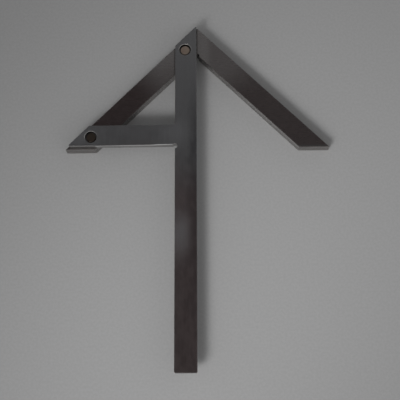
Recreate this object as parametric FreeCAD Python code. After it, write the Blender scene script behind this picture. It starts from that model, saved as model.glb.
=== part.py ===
import FreeCAD, Part
import math
import os

# A centre square: a flat blade shaped like the figure 4, riveted on top of a V-shaped stock.
# The right edge of the blade lies on the line that halves the V, so a line scribed along it
# passes through the centre of any round bar that rests in the V.
# +Z is up, +Y points at the nose of the V, and X = 0 is the plane of the scribing edge.
# The origin is the centre of the outer box, on the surface that the stock lies on.
# All sizes are in millimetres.

# Driving sizes of the V-shaped stock
half_angle = 45.0          # degrees, between the scribing edge and each leg
leg_width = 12.0           # across one leg, square to its faces
stock_thickness = 6.5
leg_reach = 75.0           # along Y, from the sharp point of the V to the ends of the legs
nose_flat = 1.2            # width of the flat across the point of the V
root_relief_radius = 1.4   # drilled relief in the inner corner of the V
root_relief_drop = 0.8     # centre of the relief below that corner

# Driving sizes of the blade
full_length = 200.0        # from the blunted nose of the stock to the far end of the bar
blade_width = 12.3
blade_thickness = 4.5
cut_inset = 0.7            # the blade's slanting cuts stay this far inside the left leg's outer face
arm_width = 11.8
arm_setback = 1.0          # from the ends of the legs up to the lower edge of the arm
tip_blunt = 0.6            # how much is taken off the acute tips of the blade
corner_relief_radius = 1.4
corner_relief_drop = 0.9   # centre of the relief below the lower edge of the arm
bar_end_radius = 0.6

stock_edge_break = 0.15    # small bevel along the edges of the stock
blade_edge_break = 0.1     # the blade keeps its edges crisp

# The two rivets, set in counterbores of the blade and closed in countersinks of the stock
shank_radius = 2.0
head_radius = 2.7
head_height = 1.5
head_rounding = 0.35
counterbore_depth = 2.4
head_clearance = 0.8       # ring between a head and the wall of its counterbore
shank_clearance = 0.05
closing_radius = 3.0       # closed end of a rivet, at the underside of the stock
closing_recess = 0.1       # the closed end stays this far inside the underside
nose_rivet_inset = 6.6     # from the outer face of the left leg to the rivet's centre
nose_rivet_offset = 0.45   # from the middle of the bar, to the left
arm_rivet_inset = 6.3
arm_rivet_offset = 0.9     # from the middle of the arm, away from the nose

# Directions, heights and places that follow from the sizes above
sin_half = math.sin(math.radians(half_angle))
cos_half = math.cos(math.radians(half_angle))
tan_half = sin_half / cos_half
top_z = stock_thickness + blade_thickness
head_seat_z = top_z - counterbore_depth
nose_y = full_length / 2.0
bar_end_y = nose_y - full_length
sharp_y = nose_y + nose_flat / (2.0 * tan_half)
leg_end_y = sharp_y - leg_reach
root_y = sharp_y - leg_width / sin_half
arm_low_y = leg_end_y + arm_setback
arm_top_y = arm_low_y + arm_width
up = FreeCAD.Vector(0, 0, 1)


def outer_x(y):
    """Distance from the scribing edge to the outer face of a leg, at a given Y."""
    return (sharp_y - y) * tan_half


def inner_x(y):
    """Distance from the scribing edge to the inner face of a leg, at a given Y."""
    return (root_y - y) * tan_half


def cut_x(y):
    """Place along X of the blade's slanting cuts, which follow the left leg, at a given Y."""
    return cut_inset / cos_half - outer_x(y)


def plate(points, base_z, thickness):
    """A flat plate with a straight-sided outline."""
    corners = [FreeCAD.Vector(x, y, base_z) for x, y in points]
    outline = Part.makePolygon(corners + corners[:1])
    return Part.Face(outline).extrude(up * thickness)


def turned(profile, x, y):
    """A solid turned about the upright line through x, y, from (radius, height) points."""
    corners = [FreeCAD.Vector(radius, 0, z) for radius, z in profile]
    outline = Part.makePolygon(corners + corners[:1])
    solid = Part.Face(outline).revolve(FreeCAD.Vector(0, 0, 0), up, 360)
    solid.translate(FreeCAD.Vector(x, y, 0))
    return solid


def relief(x, y, radius, base_z, thickness):
    """A drill that clears an inner corner through the whole plate."""
    return Part.makeCylinder(radius, thickness, FreeCAD.Vector(x, y, base_z), up)


def upright_edges_at(solid, places):
    """The upright edges of a plate that stand on the given corners of its outline."""
    found = []
    for edge in solid.Edges:
        middle = edge.BoundBox.Center
        if edge.BoundBox.ZLength < 1e-6:
            continue
        if any(math.hypot(middle.x - x, middle.y - y) < 1e-4 for x, y in places):
            found.append(edge)
    return found


def flat_edges_at(solid, heights):
    """Every edge that lies level at one of the given heights."""
    found = []
    for edge in solid.Edges:
        box = edge.BoundBox
        if box.ZLength < 1e-6 and any(abs(box.ZMin - z) < 1e-6 for z in heights):
            found.append(edge)
    return found


def nose_rivet_place():
    """Near the middle of the bar, set in from the outer face of the left leg by its inset."""
    x = -blade_width / 2.0 - nose_rivet_offset
    return x, sharp_y + x / tan_half - nose_rivet_inset / sin_half


def arm_rivet_place():
    """Near the middle of the arm, set in from the outer face of the left leg by its inset."""
    y = (arm_low_y + arm_top_y) / 2.0 - arm_rivet_offset
    return arm_rivet_inset / cos_half - outer_x(y), y


def rivet_hole_in_stock(x, y):
    """A straight hole with a right-angled countersink in the underside."""
    hole_radius = shank_radius + shank_clearance
    sink_radius = closing_radius + closing_recess + shank_clearance
    return turned([
        (0.0, 0.0),
        (sink_radius, 0.0),
        (hole_radius, sink_radius - hole_radius),
        (hole_radius, stock_thickness),
        (0.0, stock_thickness),
    ], x, y)


def rivet_hole_in_blade(x, y):
    """A straight hole that opens into a counterbore with a broken rim."""
    hole_radius = shank_radius + shank_clearance
    bore_radius = head_radius + head_clearance
    return turned([
        (0.0, stock_thickness),
        (hole_radius, stock_thickness),
        (hole_radius, head_seat_z),
        (bore_radius, head_seat_z),
        (bore_radius, top_z - blade_edge_break),
        (bore_radius + blade_edge_break, top_z),
        (0.0, top_z),
    ], x, y)


def make_stock(rivet_places):
    """The V: two legs at a right angle, with a blunted nose and square-cut ends."""
    outline = [
        (-nose_flat / 2.0, nose_y),
        (nose_flat / 2.0, nose_y),
        (outer_x(leg_end_y), leg_end_y),
        (inner_x(leg_end_y), leg_end_y),
        (0.0, root_y),
        (-inner_x(leg_end_y), leg_end_y),
        (-outer_x(leg_end_y), leg_end_y),
    ]
    stock = plate(outline, 0.0, stock_thickness)
    relief_y = root_y - root_relief_drop
    stock = stock.cut(relief(0.0, relief_y, root_relief_radius, 0.0, stock_thickness))
    stock = stock.makeChamfer(stock_edge_break, flat_edges_at(stock, (0.0, stock_thickness)))
    for x, y in rivet_places:
        stock = stock.cut(rivet_hole_in_stock(x, y))
    return stock


def make_blade(rivet_places):
    """The figure 4: a long bar and a short arm, both cut off on a slant just inside the left leg."""
    bar_left_x = -blade_width
    cut_y = sharp_y - cut_inset / sin_half
    tip_x = cut_x(arm_low_y) + tip_blunt
    bar_end = [(bar_left_x, bar_end_y), (0.0, bar_end_y)]
    outline = [
        (0.0, cut_y - tip_blunt / tan_half),
        (-tip_blunt, cut_y - tip_blunt / tan_half),
        (bar_left_x, cut_y - blade_width / tan_half),
        (bar_left_x, arm_top_y),
        (cut_x(arm_top_y), arm_top_y),
        (tip_x, arm_low_y + tip_blunt / tan_half),
        (tip_x, arm_low_y),
        (bar_left_x, arm_low_y),
    ] + bar_end
    blade = plate(outline, stock_thickness, blade_thickness)
    blade = blade.makeFillet(bar_end_radius, upright_edges_at(blade, bar_end))
    relief_y = arm_low_y - corner_relief_drop
    blade = blade.cut(relief(bar_left_x, relief_y, corner_relief_radius, stock_thickness, blade_thickness))
    blade = blade.makeChamfer(blade_edge_break, flat_edges_at(blade, (stock_thickness, top_z)))
    for x, y in rivet_places:
        blade = blade.cut(rivet_hole_in_blade(x, y))
    return blade


def make_rivet(x, y):
    """A cylindrical head and a shank, with its lower end closed out to a cone."""
    head_top_z = head_seat_z + head_height
    rivet = turned([
        (0.0, closing_recess),
        (closing_radius, closing_recess),
        (shank_radius, closing_recess + closing_radius - shank_radius),
        (shank_radius, head_seat_z),
        (head_radius, head_seat_z),
        (head_radius, head_top_z),
        (0.0, head_top_z),
    ], x, y)
    return rivet.makeFillet(head_rounding, flat_edges_at(rivet, (head_top_z,)))


def main():
    os.makedirs("parts", exist_ok=True)
    rivet_places = [nose_rivet_place(), arm_rivet_place()]
    nodes = {
        "v_stock": make_stock(rivet_places),
        "blade": make_blade(rivet_places),
        "nose_rivet": make_rivet(*rivet_places[0]),
        "arm_rivet": make_rivet(*rivet_places[1]),
    }
    for name, shape in nodes.items():
        print(name, "solids", len(shape.Solids), "valid", shape.isValid(), "volume", round(shape.Volume, 1))
        shape.exportStep("parts/" + name + ".step")


main()
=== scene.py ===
import math

import bpy
from mathutils import Matrix, Quaternion, Vector


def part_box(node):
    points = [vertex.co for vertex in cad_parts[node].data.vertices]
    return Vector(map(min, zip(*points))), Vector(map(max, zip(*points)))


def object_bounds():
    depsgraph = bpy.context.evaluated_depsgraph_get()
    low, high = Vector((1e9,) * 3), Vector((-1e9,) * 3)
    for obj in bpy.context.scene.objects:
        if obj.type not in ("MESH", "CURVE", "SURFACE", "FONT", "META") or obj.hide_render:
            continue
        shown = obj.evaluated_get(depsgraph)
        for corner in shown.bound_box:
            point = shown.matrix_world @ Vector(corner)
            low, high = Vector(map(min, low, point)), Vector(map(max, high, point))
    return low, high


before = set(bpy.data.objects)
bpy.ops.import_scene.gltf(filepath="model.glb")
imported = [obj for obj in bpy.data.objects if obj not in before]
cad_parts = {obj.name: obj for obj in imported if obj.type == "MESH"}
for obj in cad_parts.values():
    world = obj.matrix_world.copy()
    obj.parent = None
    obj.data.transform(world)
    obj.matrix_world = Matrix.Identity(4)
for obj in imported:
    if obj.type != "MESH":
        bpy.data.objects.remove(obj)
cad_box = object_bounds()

# A steel centre square on a pale surface: a blade shaped like the figure 4, riveted on a V-shaped stock.
# All lengths are in metres, in the part's own frame: +Y points at the nose of the V, X = 0 is the
# scribing edge, which is the right edge of the blade's bar, and Z = 0 is the surface.

MM = 0.001


def middle_of(node):
    """The middle of a CAD node's box."""
    low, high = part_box(node)
    return (low + high) / 2.0


# Places on the part that the finish follows
STOCK_LOW, STOCK_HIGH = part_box("v_stock")
NOSE = Vector((0.0, cad_box[1].y, 0.0))
BLADE_TOP_Z = cad_box[1].z
BAR_WIDTH = 12.3 * MM
ARM_SETBACK = 1.0 * MM                          # from the ends of the legs up to the arm's front face
ARM_FRONT_Y = STOCK_LOW.y + ARM_SETBACK
RIVET_MIDDLES = (middle_of("nose_rivet"), middle_of("arm_rivet"))
BORE_RADIUS = 3.5 * MM                          # counterbores round the heads of the rivets

# Colours that belong to no single piece
BLACK = (0.0, 0.0, 0.0, 1.0)
SPECK = (0.020, 0.015, 0.012, 1.0)
BORE_DARK = (0.055, 0.047, 0.040, 1.0)
WORN_EDGE = (0.58, 0.57, 0.55, 1.0)
# Colour of the painted highlight on upright faces
SIDE_HIGHLIGHT = (0.95, 0.94, 0.93, 1.0)
FLOOR_DARK = (0.2874, 0.2874, 0.2874, 1.0)
FLOOR_LIGHT = (0.3050, 0.3050, 0.3050, 1.0)

# How fine the noise is along X, Y and Z, in cycles per metre
CLOUD_RATE = (38.0, 38.0, 38.0)
SPECK_RATE = (900.0, 900.0, 900.0)
BLADE_MOTTLE_RATE = (330.0, 170.0, 330.0)
STOCK_MOTTLE_RATE = (300.0, 300.0, 300.0)
FLOOR_RATE = (700.0, 700.0, 700.0)

# The upright part of a face's normal, which tells a bevel and a level face from an upright one
BEVEL_FACE = (0.55, 0.65)
LEVEL_FACE = (0.80, 0.90)

# How strongly each layer of the finish covers what is under it
LAY_SHARE = 0.20
SPECK_SHARE = 0.30
# The bevels' layer is painted shade
BEVEL_SHADE_SHARE = 0.90
EDGE_SHARE = 0.12
BORE_DARK_SHARE = 0.58

NOISE_SPREAD = (0.30, 0.70)                     # where most values of a noise fall
WANDER = 12 * MM                                # how far the borders of a finish wander


class Nodes:
    """A short way to write a node tree. Most methods add one node and give its output."""

    def __init__(self, tree):
        self.tree = tree
        tree.nodes.clear()

    def add(self, kind, **settings):
        """A new node itself, for what has no method of its own."""
        node = self.tree.nodes.new(kind)
        for key, value in settings.items():
            setattr(node, key, value)
        return node

    def link(self, output, socket):
        """Links the output of one node to a socket of another."""
        self.tree.links.new(output, socket)

    def put(self, socket, value):
        """Links a node's output to a socket, or sets the socket to a plain value."""
        if isinstance(value, bpy.types.NodeSocket):
            self.link(value, socket)
        else:
            socket.default_value = value

    def math(self, operation, a, b=0.0, clamp=False):
        node = self.add("ShaderNodeMath", operation=operation, use_clamp=clamp)
        self.put(node.inputs[0], a)
        self.put(node.inputs[1], b)
        return node.outputs[0]

    def plus(self, a, b, clamp=False):
        return self.math("ADD", a, b, clamp)

    def minus(self, a, b):
        return self.math("SUBTRACT", a, b)

    def times(self, a, b, clamp=False):
        return self.math("MULTIPLY", a, b, clamp)

    def larger(self, a, b):
        return self.math("MAXIMUM", a, b)

    def absolute(self, a):
        return self.math("ABSOLUTE", a)

    def split(self, vector):
        """The X, Y and Z parts of a vector."""
        node = self.add("ShaderNodeSeparateXYZ")
        self.link(vector, node.inputs["Vector"])
        return node.outputs["X"], node.outputs["Y"], node.outputs["Z"]

    def compare(self, operation, a, b):
        """One number from two vectors: their distance, or their dot product."""
        node = self.add("ShaderNodeVectorMath", operation=operation)
        self.put(node.inputs[0], a)
        self.put(node.inputs[1], b)
        return node.outputs["Value"]

    def ramp(self, value, reach, result=(0.0, 1.0)):
        """Eases from one result to the other while a value goes through its reach, held at both ends."""
        node = self.add("ShaderNodeMapRange", clamp=True, interpolation_type="SMOOTHSTEP")
        self.put(node.inputs["Value"], value)
        node.inputs["From Min"].default_value, node.inputs["From Max"].default_value = reach
        node.inputs["To Min"].default_value, node.inputs["To Max"].default_value = result
        return node.outputs["Result"]

    def mix(self, factor, a, b, blend="MIX"):
        """A colour that goes from a to b as the factor goes from nought to one.

        The node has sockets for every kind of data, so its colours are found by their numbers.
        """
        node = self.add("ShaderNodeMix", data_type="RGBA", blend_type=blend)
        first_colour, second_colour = node.inputs[6:8]
        self.put(node.inputs["Factor"], factor)
        self.put(first_colour, a)
        self.put(second_colour, b)
        return node.outputs[2]

    def noise(self, place, rate, detail=3.0, roughness=0.5, shift=(0.0, 0.0, 0.0)):
        """Noise with its own rate along X, Y and Z."""
        mapping = self.add("ShaderNodeMapping")
        self.link(place, mapping.inputs["Vector"])
        mapping.inputs["Scale"].default_value = rate
        mapping.inputs["Location"].default_value = shift
        node = self.add("ShaderNodeTexNoise")
        self.link(mapping.outputs["Vector"], node.inputs["Vector"])
        node.inputs["Scale"].default_value = 1.0
        node.inputs["Detail"].default_value = detail
        node.inputs["Roughness"].default_value = roughness
        return node.outputs["Fac"]

    def face_normal(self):
        """The way a face looks, in the part's frame."""
        return self.add("ShaderNodeNewGeometry").outputs["True Normal"]

    def rounded_normal(self, radius):
        """The way a face looks, turned towards its neighbour within a radius of the edge."""
        node = self.add("ShaderNodeBevel", samples=4)
        node.inputs["Radius"].default_value = radius
        return node.outputs["Normal"]


def mottled(n, place, rate, light, dark):
    """Two shades in small uneven patches."""
    patches = n.ramp(n.noise(place, rate, detail=3.0, roughness=0.6), (0.36, 0.64))
    return n.mix(patches, light, dark)


# The blade's level faces. A distance is from the nose; X and Y are in the part's frame.
# Their darkening away from the nose is painted shade, and their bright spots are painted reflections.
DARK_BLADE = (0.375, 0.373, 0.376, 1.0)
DARKER_BLADE = (0.298, 0.296, 0.299, 1.0)
# Colour of the painted reflections
REFLECTION_BRIGHT = (0.600, 0.605, 0.615, 1.0)
BROWN_TINT = (1.0, 0.845, 0.830, 1.0)
BLADE_SHADE_DEEPENS = (12 * MM, 150 * MM)             # distance
EDGE_DARKENS = (30 * MM, 85 * MM)               # distance
EDGE_STRIP = (-8.5 * MM, 0.5 * MM)              # X
BLADE_BROWNS = (24 * MM, -10 * MM)              # Y
DARK_STRIP_BEGINS = (35 * MM, 60 * MM)             # distance
DARK_STRIP_ENDS = (175 * MM, 120 * MM)             # distance
DARK_STRIP_X = (-6.0 * MM, -1.5 * MM)          # X

# Bright spots painted on the blade's level faces as reflections: the X and Y of the middle, half the size,
# the strength
REFLECTION_SPOTS = (
    ((-8.5 * MM, -24.5 * MM), (12.5 * MM, 18.0 * MM), 1.00),
    ((-12.0 * MM, 34.0 * MM), (13.0 * MM, 10.0 * MM), 0.45),
    ((-64.0 * MM, 32.0 * MM), (16.0 * MM, 12.0 * MM), 0.40),
)


def rubbed_spot(n, x, y, wobble, middle, half_size, strength):
    """A soft oval spot with an uneven border, strongest in its middle."""
    across = n.math("DIVIDE", n.minus(x, middle[0]), half_size[0])
    along = n.math("DIVIDE", n.minus(y, middle[1]), half_size[1])
    away = n.math("SQRT", n.plus(n.times(across, across), n.times(along, along)))
    uneven = n.plus(away, n.times(wobble, 1.2))
    return n.ramp(uneven, (0.15, 1.15), (strength, 0.0))


def blade_finish(n, place, cloud, colour):
    """Grey round the nose and on the arm, darker and browner to the far end, with bright spots.

    The darkening to the far end is painted shade, and the bright spots are painted reflections. A strip
    beside the scribing edge is darker, most of all part way along the bar.
    """
    x, y, _ = n.split(place)
    wobble = n.minus(cloud, 0.5)
    from_nose = n.plus(n.compare("DISTANCE", place, NOSE), n.times(wobble, WANDER))
    beside_edge = n.times(n.ramp(from_nose, EDGE_DARKENS), n.ramp(x, EDGE_STRIP, (0.0, 0.9)))
    spots = 0.0
    for middle, half_size, strength in REFLECTION_SPOTS:
        spots = n.larger(spots, rubbed_spot(n, x, y, wobble, middle, half_size, strength))
    spots = n.times(spots, n.minus(1.0, beside_edge))
    brown = n.times(n.ramp(y, BLADE_BROWNS), n.minus(1.0, n.times(spots, 0.75)))
    # Painted shade: darker away from the nose, together with the darker strip beside the scribing edge
    darkened = n.plus(n.ramp(from_nose, BLADE_SHADE_DEEPENS), beside_edge, clamp=True)
    colour = n.mix(darkened, colour, mottled(n, place, BLADE_MOTTLE_RATE, DARK_BLADE, DARKER_BLADE))
    # Painted reflections: bright spots on the level faces
    colour = n.mix(spots, colour, REFLECTION_BRIGHT)
    colour = n.mix(brown, colour, BROWN_TINT, blend="MULTIPLY")
    # A narrower strip beside the scribing edge is darker still, part way along the bar
    dark_strip = n.times(n.ramp(from_nose, DARK_STRIP_BEGINS), n.ramp(from_nose, DARK_STRIP_ENDS))
    dark_strip = n.times(dark_strip, n.ramp(x, DARK_STRIP_X, (0.0, 0.23)))
    return n.mix(dark_strip, colour, BLACK)


# The stock's level faces. A distance is from a place just left of the nose.
# Their darkening along the legs, paler at the leg ends, is painted shade.
LEG_SHADE = (0.165, 0.130, 0.127, 1.0)
DEEPER_LEG_SHADE = (0.141, 0.112, 0.109, 1.0)
LEG_END_SHADE = (0.190, 0.180, 0.176, 1.0)
JOINT_SHADOW = (0.080, 0.070, 0.066, 1.0)
LEFT_OF_NOSE = NOSE - Vector((2 * MM, 0.0, 0.0))
LEGS_DARKEN = (22 * MM, 56 * MM)                # distance
RIGHT_LEG_DARKENS = (4.5 * MM, 10 * MM)         # X
RIGHT_LEG_LIGHTER = (0.0, 20 * MM)              # X
LEG_END_REACH = (STOCK_LOW.y + 1.6 * MM, STOCK_LOW.y + 0.8 * MM)
JOINT_SHADOW_X = -BAR_WIDTH / 2.0 - 0.25 * MM      # middle of the painted shadow, which the bar covers
JOINT_SHADOW_BORDER = (7.1 * MM, 6.6 * MM)         # from that middle, just beyond each side of the bar
JOINT_SHADOW_STRENGTHENS = (-10 * MM, -2 * MM)     # X


def stock_finish(n, place, cloud, colour):
    """Bright round the nose, darker along the legs with painted shade, the left one a little more.

    The painted shade is paler at the ends of the legs. A painted shadow shows as a dark line along each
    side of the bar.
    """
    x, y, _ = n.split(place)
    wobble = n.times(n.minus(cloud, 0.5), WANDER)
    from_nose = n.plus(n.compare("DISTANCE", place, LEFT_OF_NOSE), wobble)
    # Painted shade along the legs, paler at their ends
    leg_shade = n.larger(n.ramp(from_nose, LEGS_DARKEN), n.ramp(x, RIGHT_LEG_DARKENS, (0.0, 0.37)))
    leg_shade = n.times(leg_shade, n.ramp(x, RIGHT_LEG_LIGHTER, (1.0, 0.83)))
    leg_shade_colour = mottled(n, place, STOCK_MOTTLE_RATE, LEG_SHADE, DEEPER_LEG_SHADE)
    leg_shade_colour = n.mix(n.ramp(y, LEG_END_REACH), leg_shade_colour, LEG_END_SHADE)
    colour = n.mix(leg_shade, colour, leg_shade_colour)
    # Painted shadow: a dark line along each side of the bar, where it lies on the stock
    near_bar = n.ramp(n.absolute(n.minus(x, JOINT_SHADOW_X)), JOINT_SHADOW_BORDER)
    joint = n.times(near_bar, n.ramp(x, JOINT_SHADOW_STRENGTHENS, (0.60, 1.0)))
    return n.mix(joint, colour, JOINT_SHADOW)


def arm_front(n, place):
    """How far a painted highlight runs along a line on the arm's front face, and how far painted shade
    darkens it above that line.

    The line runs under the top edge beside the bar and comes down in two stretches towards the tip.
    """
    x, y, z = n.split(place)
    at_front = n.ramp(n.absolute(n.minus(y, ARM_FRONT_Y)), (0.6 * MM, 0.3 * MM))
    left_of_bar = n.ramp(x, (-BAR_WIDTH - 0.7 * MM, -BAR_WIDTH - 1.7 * MM))
    along = n.times(at_front, left_of_bar)
    fading = n.ramp(x, (-52 * MM, -40 * MM), (0.45, 1.0))
    again_at_tip = n.ramp(x, (-52 * MM, -57 * MM), (0.0, 0.85))
    lowered_beside_bar = n.ramp(x, (-14 * MM, -31 * MM), (-0.5 * MM, 0.9 * MM))
    lowered_near_tip = n.ramp(x, (-46 * MM, -56 * MM), (0.0, 0.7 * MM))
    lowered = n.plus(lowered_beside_bar, lowered_near_tip)
    depth = n.minus(BLADE_TOP_Z, n.plus(z, lowered))
    line = n.times(n.ramp(depth, (1.7 * MM, 0.9 * MM)), n.ramp(depth, (-0.7 * MM, 0.0)))
    rubbed = n.times(n.times(along, n.larger(fading, again_at_tip)), line)
    dull = n.times(along, n.ramp(depth, (0.2 * MM, -1.0 * MM), (0.0, 0.50)))
    return rubbed, dull


def leg_inside(n, place):
    """How far a painted highlight lies on the inner face of the right leg, below its top edge. It gets no
    painted shade.
    """
    x, _, z = n.split(place)
    facing_x, _, _ = n.split(n.face_normal())
    inside = n.ramp(facing_x, (-0.30, -0.50), (0.0, 0.285))
    away_from_nose = n.ramp(x, (14 * MM, 34 * MM))
    above_foot = n.ramp(z, (1.0 * MM, 5.5 * MM))
    below_edge = n.ramp(z, (STOCK_HIGH.z - 0.05 * MM, STOCK_HIGH.z - 0.25 * MM))
    return n.times(n.times(inside, away_from_nose), n.times(above_foot, below_edge)), 0.0


def near_bores(n, place):
    """One in and just round the counterbores and nought elsewhere, then one below their rim."""
    x, y, z = n.split(place)
    flat = n.add("ShaderNodeCombineXYZ")
    n.link(x, flat.inputs["X"])
    n.link(y, flat.inputs["Y"])
    near = 0.0
    for middle in RIVET_MIDDLES:
        away = n.compare("DISTANCE", flat.outputs["Vector"], (middle.x, middle.y, 0.0))
        near = n.larger(near, n.ramp(away, (BORE_RADIUS + 0.5 * MM, BORE_RADIUS + 0.2 * MM)))
    return near, n.ramp(z, (BLADE_TOP_Z - 0.15 * MM, BLADE_TOP_Z - 0.70 * MM))


def worn_edge(n, normal, cloud):
    """How far a place is on an edge that is worn bright, broken up here and there."""
    alike = n.compare("DOT_PRODUCT", n.rounded_normal(0.30 * MM), normal)
    whole = n.minus(1.0, n.ramp(cloud, (0.30, 0.62), (0.0, 0.6)))
    return n.times(n.ramp(alike, (0.99, 0.86), (0.0, EDGE_SHARE)), whole, clamp=True)


def lay_bump(n, lay):
    """The shallow relief of the lay, on faces with slightly rounded edges."""
    bump = n.add("ShaderNodeBump")
    bump.inputs["Strength"].default_value = 0.30
    bump.inputs["Distance"].default_value = 0.010 * MM
    n.link(lay, bump.inputs["Height"])
    n.link(n.rounded_normal(0.06 * MM), bump.inputs["Normal"])
    return bump.outputs["Normal"]


def new_material(name):
    """A new material, with its node tree, its shader and the place of a point in the part's frame."""
    material = bpy.data.materials.new(name)
    material.use_nodes = True
    n = Nodes(material.node_tree)
    output = n.add("ShaderNodeOutputMaterial")
    shader = n.add("ShaderNodeBsdfPrincipled")
    n.link(shader.outputs["BSDF"], output.inputs["Surface"])
    place = n.add("ShaderNodeTexCoord").outputs["Object"]
    return material, n, shader, place


def steel(name, clean, stained, side, dull, stain_amount, grain, roughness, shift,
          finish=None, rub=None, grimy=False):
    """Ground steel with a fine lay, faint stains and specks, and edges worn a little bright.

    clean and stained are the colours of the level faces, side is that of the upright ones, and
    dull is that of the narrow bevels between them, dark as painted shade. grain is the rate
    of the lay along X, Y and Z, and shift moves all the noise, so that each piece has its own.
    finish changes the level faces from place to place, and paints shade, shadow and reflections
    into them; rub says where upright faces get a painted highlight or painted shade. A piece
    with grimy is darker below the rims of the rivets' counterbores.
    """
    material, n, shader, place = new_material(name)
    fine = n.noise(place, grain, detail=4.0, roughness=0.65, shift=shift)
    coarse = n.noise(place, [rate / 4.0 for rate in grain], detail=2.0, shift=shift)
    lay = n.plus(n.times(fine, 0.6), n.times(coarse, 0.4))
    cloud = n.noise(place, CLOUD_RATE, detail=4.0, roughness=0.6, shift=shift)
    specks = n.noise(place, SPECK_RATE, detail=2.0, shift=shift)

    normal = n.face_normal()
    _, _, facing_up = n.split(normal)
    facing_z = n.absolute(facing_up)
    level = n.ramp(facing_z, LEVEL_FACE)
    not_level = n.minus(1.0, level)
    bevel = n.times(n.ramp(facing_z, BEVEL_FACE), not_level)
    if rub is not None:
        rubbed, painted_shade = rub(n, place)
        # Painted shade on the bevels eases where the painted highlight runs, and more painted shade joins
        # it
        bevel = n.larger(n.times(bevel, n.minus(1.0, n.times(rubbed, 0.55))), painted_shade)
        # Painted highlight on the upright faces
        side = n.mix(rubbed, side, SIDE_HIGHLIGHT)
    if grimy:
        near_bore, below_rim = near_bores(n, place)
        bevel = n.times(bevel, n.minus(1.0, near_bore))

    colour = n.mix(n.ramp(cloud, (0.40, 0.66), (0.0, stain_amount)), clean, stained)
    if finish is not None:
        colour = finish(n, place, cloud, colour)
    colour = n.mix(level, side, colour)
    # Painted shade: the narrow bevels take a dark colour
    colour = n.mix(n.times(bevel, BEVEL_SHADE_SHARE), colour, dull)
    colour = n.mix(n.ramp(lay, NOISE_SPREAD, (0.0, LAY_SHARE)), colour, BLACK)
    colour = n.mix(n.ramp(specks, (0.66, 0.78), (0.0, SPECK_SHARE)), colour, SPECK)
    colour = n.mix(n.times(worn_edge(n, normal, cloud), not_level), colour, WORN_EDGE)
    # Darker below the rims of the counterbores
    if grimy:
        bore_dark = n.times(n.times(near_bore, below_rim), BORE_DARK_SHARE)
        colour = n.mix(bore_dark, colour, BORE_DARK)
    n.link(colour, shader.inputs["Base Color"])

    shader.inputs["Metallic"].default_value = 1.0
    smoothest, roughest = roughness - 0.04, roughness + 0.05
    n.link(n.ramp(lay, NOISE_SPREAD, (smoothest, roughest)), shader.inputs["Roughness"])
    n.link(lay_bump(n, lay), shader.inputs["Normal"])
    return material


def blade_steel():
    """Cool grey, with the lay along the bar."""
    return steel(
        "blade_ground_steel",
        clean=(0.412, 0.413, 0.416, 1.0),
        stained=(0.330, 0.325, 0.330, 1.0),
        side=(0.450, 0.440, 0.430, 1.0),
        dull=(0.080, 0.078, 0.078, 1.0),
        stain_amount=0.15,
        grain=(2600.0, 45.0, 2600.0),
        roughness=0.21,
        shift=(3.1, 7.7, 1.3),
        finish=blade_finish,
        rub=arm_front,
        grimy=True,
    )


def stock_steel():
    """Warmer than the blade, with the lay across the part."""
    return steel(
        "stock_steel_painted_shade",
        clean=(0.458, 0.434, 0.422, 1.0),
        stained=(0.340, 0.310, 0.300, 1.0),
        side=(0.340, 0.324, 0.314, 1.0),
        dull=(0.055, 0.048, 0.046, 1.0),
        stain_amount=0.25,
        grain=(50.0, 1900.0, 1900.0),
        roughness=0.25,
        shift=(11.3, 2.9, 5.1),
        finish=stock_finish,
        rub=leg_inside,
    )


def nose_rivet_steel():
    """Pale brown and rather rough."""
    return steel(
        "nose_rivet_steel",
        clean=(0.455, 0.375, 0.310, 1.0),
        stained=(0.300, 0.210, 0.160, 1.0),
        side=(0.360, 0.290, 0.240, 1.0),
        dull=(0.160, 0.150, 0.145, 1.0),
        stain_amount=0.5,
        grain=(500.0, 1500.0, 1500.0),
        roughness=0.42,
        shift=(1.9, 4.3, 8.8),
    )


def arm_rivet_steel():
    """Dark brown and rather rough."""
    return steel(
        "arm_rivet_steel",
        clean=(0.085, 0.068, 0.056, 1.0),
        stained=(0.055, 0.042, 0.034, 1.0),
        side=(0.120, 0.100, 0.085, 1.0),
        dull=(0.060, 0.050, 0.045, 1.0),
        stain_amount=0.6,
        grain=(500.0, 1500.0, 1500.0),
        roughness=0.45,
        shift=(6.4, 9.9, 2.2),
    )


def dress(node, material):
    """Gives a CAD node its material."""
    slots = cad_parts[node].data.materials
    slots.clear()
    slots.append(material)


def make_floor():
    """A wide, plain, pale surface with the faintest grain."""
    half = 8.0
    corners = [(-half, -half, 0), (half, -half, 0), (half, half, 0), (-half, half, 0)]
    mesh = bpy.data.meshes.new("floor")
    mesh.from_pydata(corners, [], [(0, 1, 2, 3)])
    floor = bpy.data.objects.new("floor", mesh)
    bpy.context.scene.collection.objects.link(floor)

    material, n, shader, place = new_material("pale_floor")
    grain = n.ramp(n.noise(place, FLOOR_RATE), NOISE_SPREAD)
    n.link(n.mix(grain, FLOOR_DARK, FLOOR_LIGHT), shader.inputs["Base Color"])
    shader.inputs["Roughness"].default_value = 0.9
    shader.inputs["Specular IOR Level"].default_value = 0.2
    mesh.materials.append(material)


def stand_at(thing, place, target, roll=0.0):
    """Puts a lamp or a camera at a place, turned towards a target and rolled about that line."""
    turn = (place - target).to_track_quat("Z", "Y") @ Quaternion((0.0, 0.0, 1.0), roll)
    thing.matrix_world = Matrix.Translation(place) @ turn.to_matrix().to_4x4()
    bpy.context.scene.collection.objects.link(thing)


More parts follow.
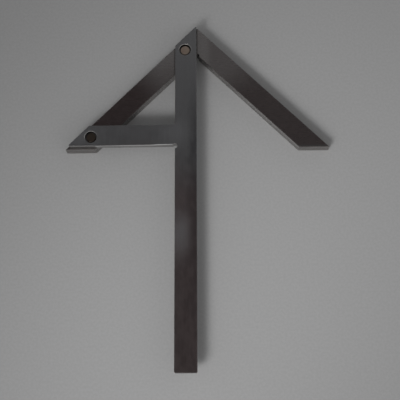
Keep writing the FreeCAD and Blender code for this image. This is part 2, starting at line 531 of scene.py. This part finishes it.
def make_lamp():
    """One soft lamp, low on the near left, so that shadows fall up and to the right.

    Its spread is narrow and it is turned to the near half of the part, so the light fades beyond the nose.
    """
    data = bpy.data.lights.new("soft_lamp", "AREA")
    data.shape = "SQUARE"
    data.size = 0.27
    data.energy = 0.248
    data.spread = math.radians(35.0)
    lit_middle = Vector((0.0, 30 * MM, 0.0))
    direction = Vector((-0.325, -0.695, 0.630)).normalized()
    distance = 0.75
    target = Vector((23 * MM, -48 * MM, 0.0))
    stand_at(bpy.data.objects.new("soft_lamp", data), lit_middle + direction * distance, target)


# The colour of the surroundings by the upward part of a direction: 0 is level and 1 is straight up
SURROUNDINGS = (
    (0.50, (0.790, 0.790, 0.790, 1.0)),
    (0.84, (0.190, 0.190, 0.194, 1.0)),
    (0.95, (0.119, 0.118, 0.122, 1.0)),
    (1.00, (0.070, 0.064, 0.063, 1.0)),
)


def make_world():
    """Soft grey surroundings, dark overhead like an unlit ceiling, and brighter on the near right."""
    world = bpy.data.worlds.new("soft_room")
    world.use_nodes = True
    bpy.context.scene.world = world
    n = Nodes(world.node_tree)
    output = n.add("ShaderNodeOutputWorld")
    background = n.add("ShaderNodeBackground")
    n.link(background.outputs["Background"], output.inputs["Surface"])
    direction = n.add("ShaderNodeTexCoord").outputs["Generated"]
    _, _, height = n.split(direction)

    by_height = n.add("ShaderNodeValToRGB")
    n.link(height, by_height.inputs["Fac"])
    stops = by_height.color_ramp.elements
    stops.remove(stops[1])
    stops[0].position, stops[0].color = SURROUNDINGS[0]
    for position, colour in SURROUNDINGS[1:]:
        stops.new(position).color = colour

    near_right = n.compare("DOT_PRODUCT", direction, (0.45, -0.89, 0.0))
    n.link(by_height.outputs["Color"], background.inputs["Color"])
    n.link(n.ramp(near_right, (-1.0, 1.0), (0.77, 1.37)), background.inputs["Strength"])


def make_camera():
    """The photograph's view: from above the near end, tilted towards the nose."""
    data = bpy.data.cameras.new("camera")
    data.sensor_width = 36.0
    data.lens = 75.502
    data.clip_start = 0.01
    data.clip_end = 20.0
    camera = bpy.data.objects.new("camera", data)
    place = Vector((13.667 * MM, -128.964 * MM, 458.141 * MM))
    target = Vector((1.4289 * MM, -3.1329 * MM, 0.0))
    stand_at(camera, place, target, roll=math.radians(-6.0165))
    bpy.context.scene.camera = camera


dress("blade", blade_steel())
dress("v_stock", stock_steel())
dress("nose_rivet", nose_rivet_steel())
dress("arm_rivet", arm_rivet_steel())
make_floor()
make_lamp()
make_world()
make_camera()
bpy.context.scene.view_settings.view_transform = "Standard"
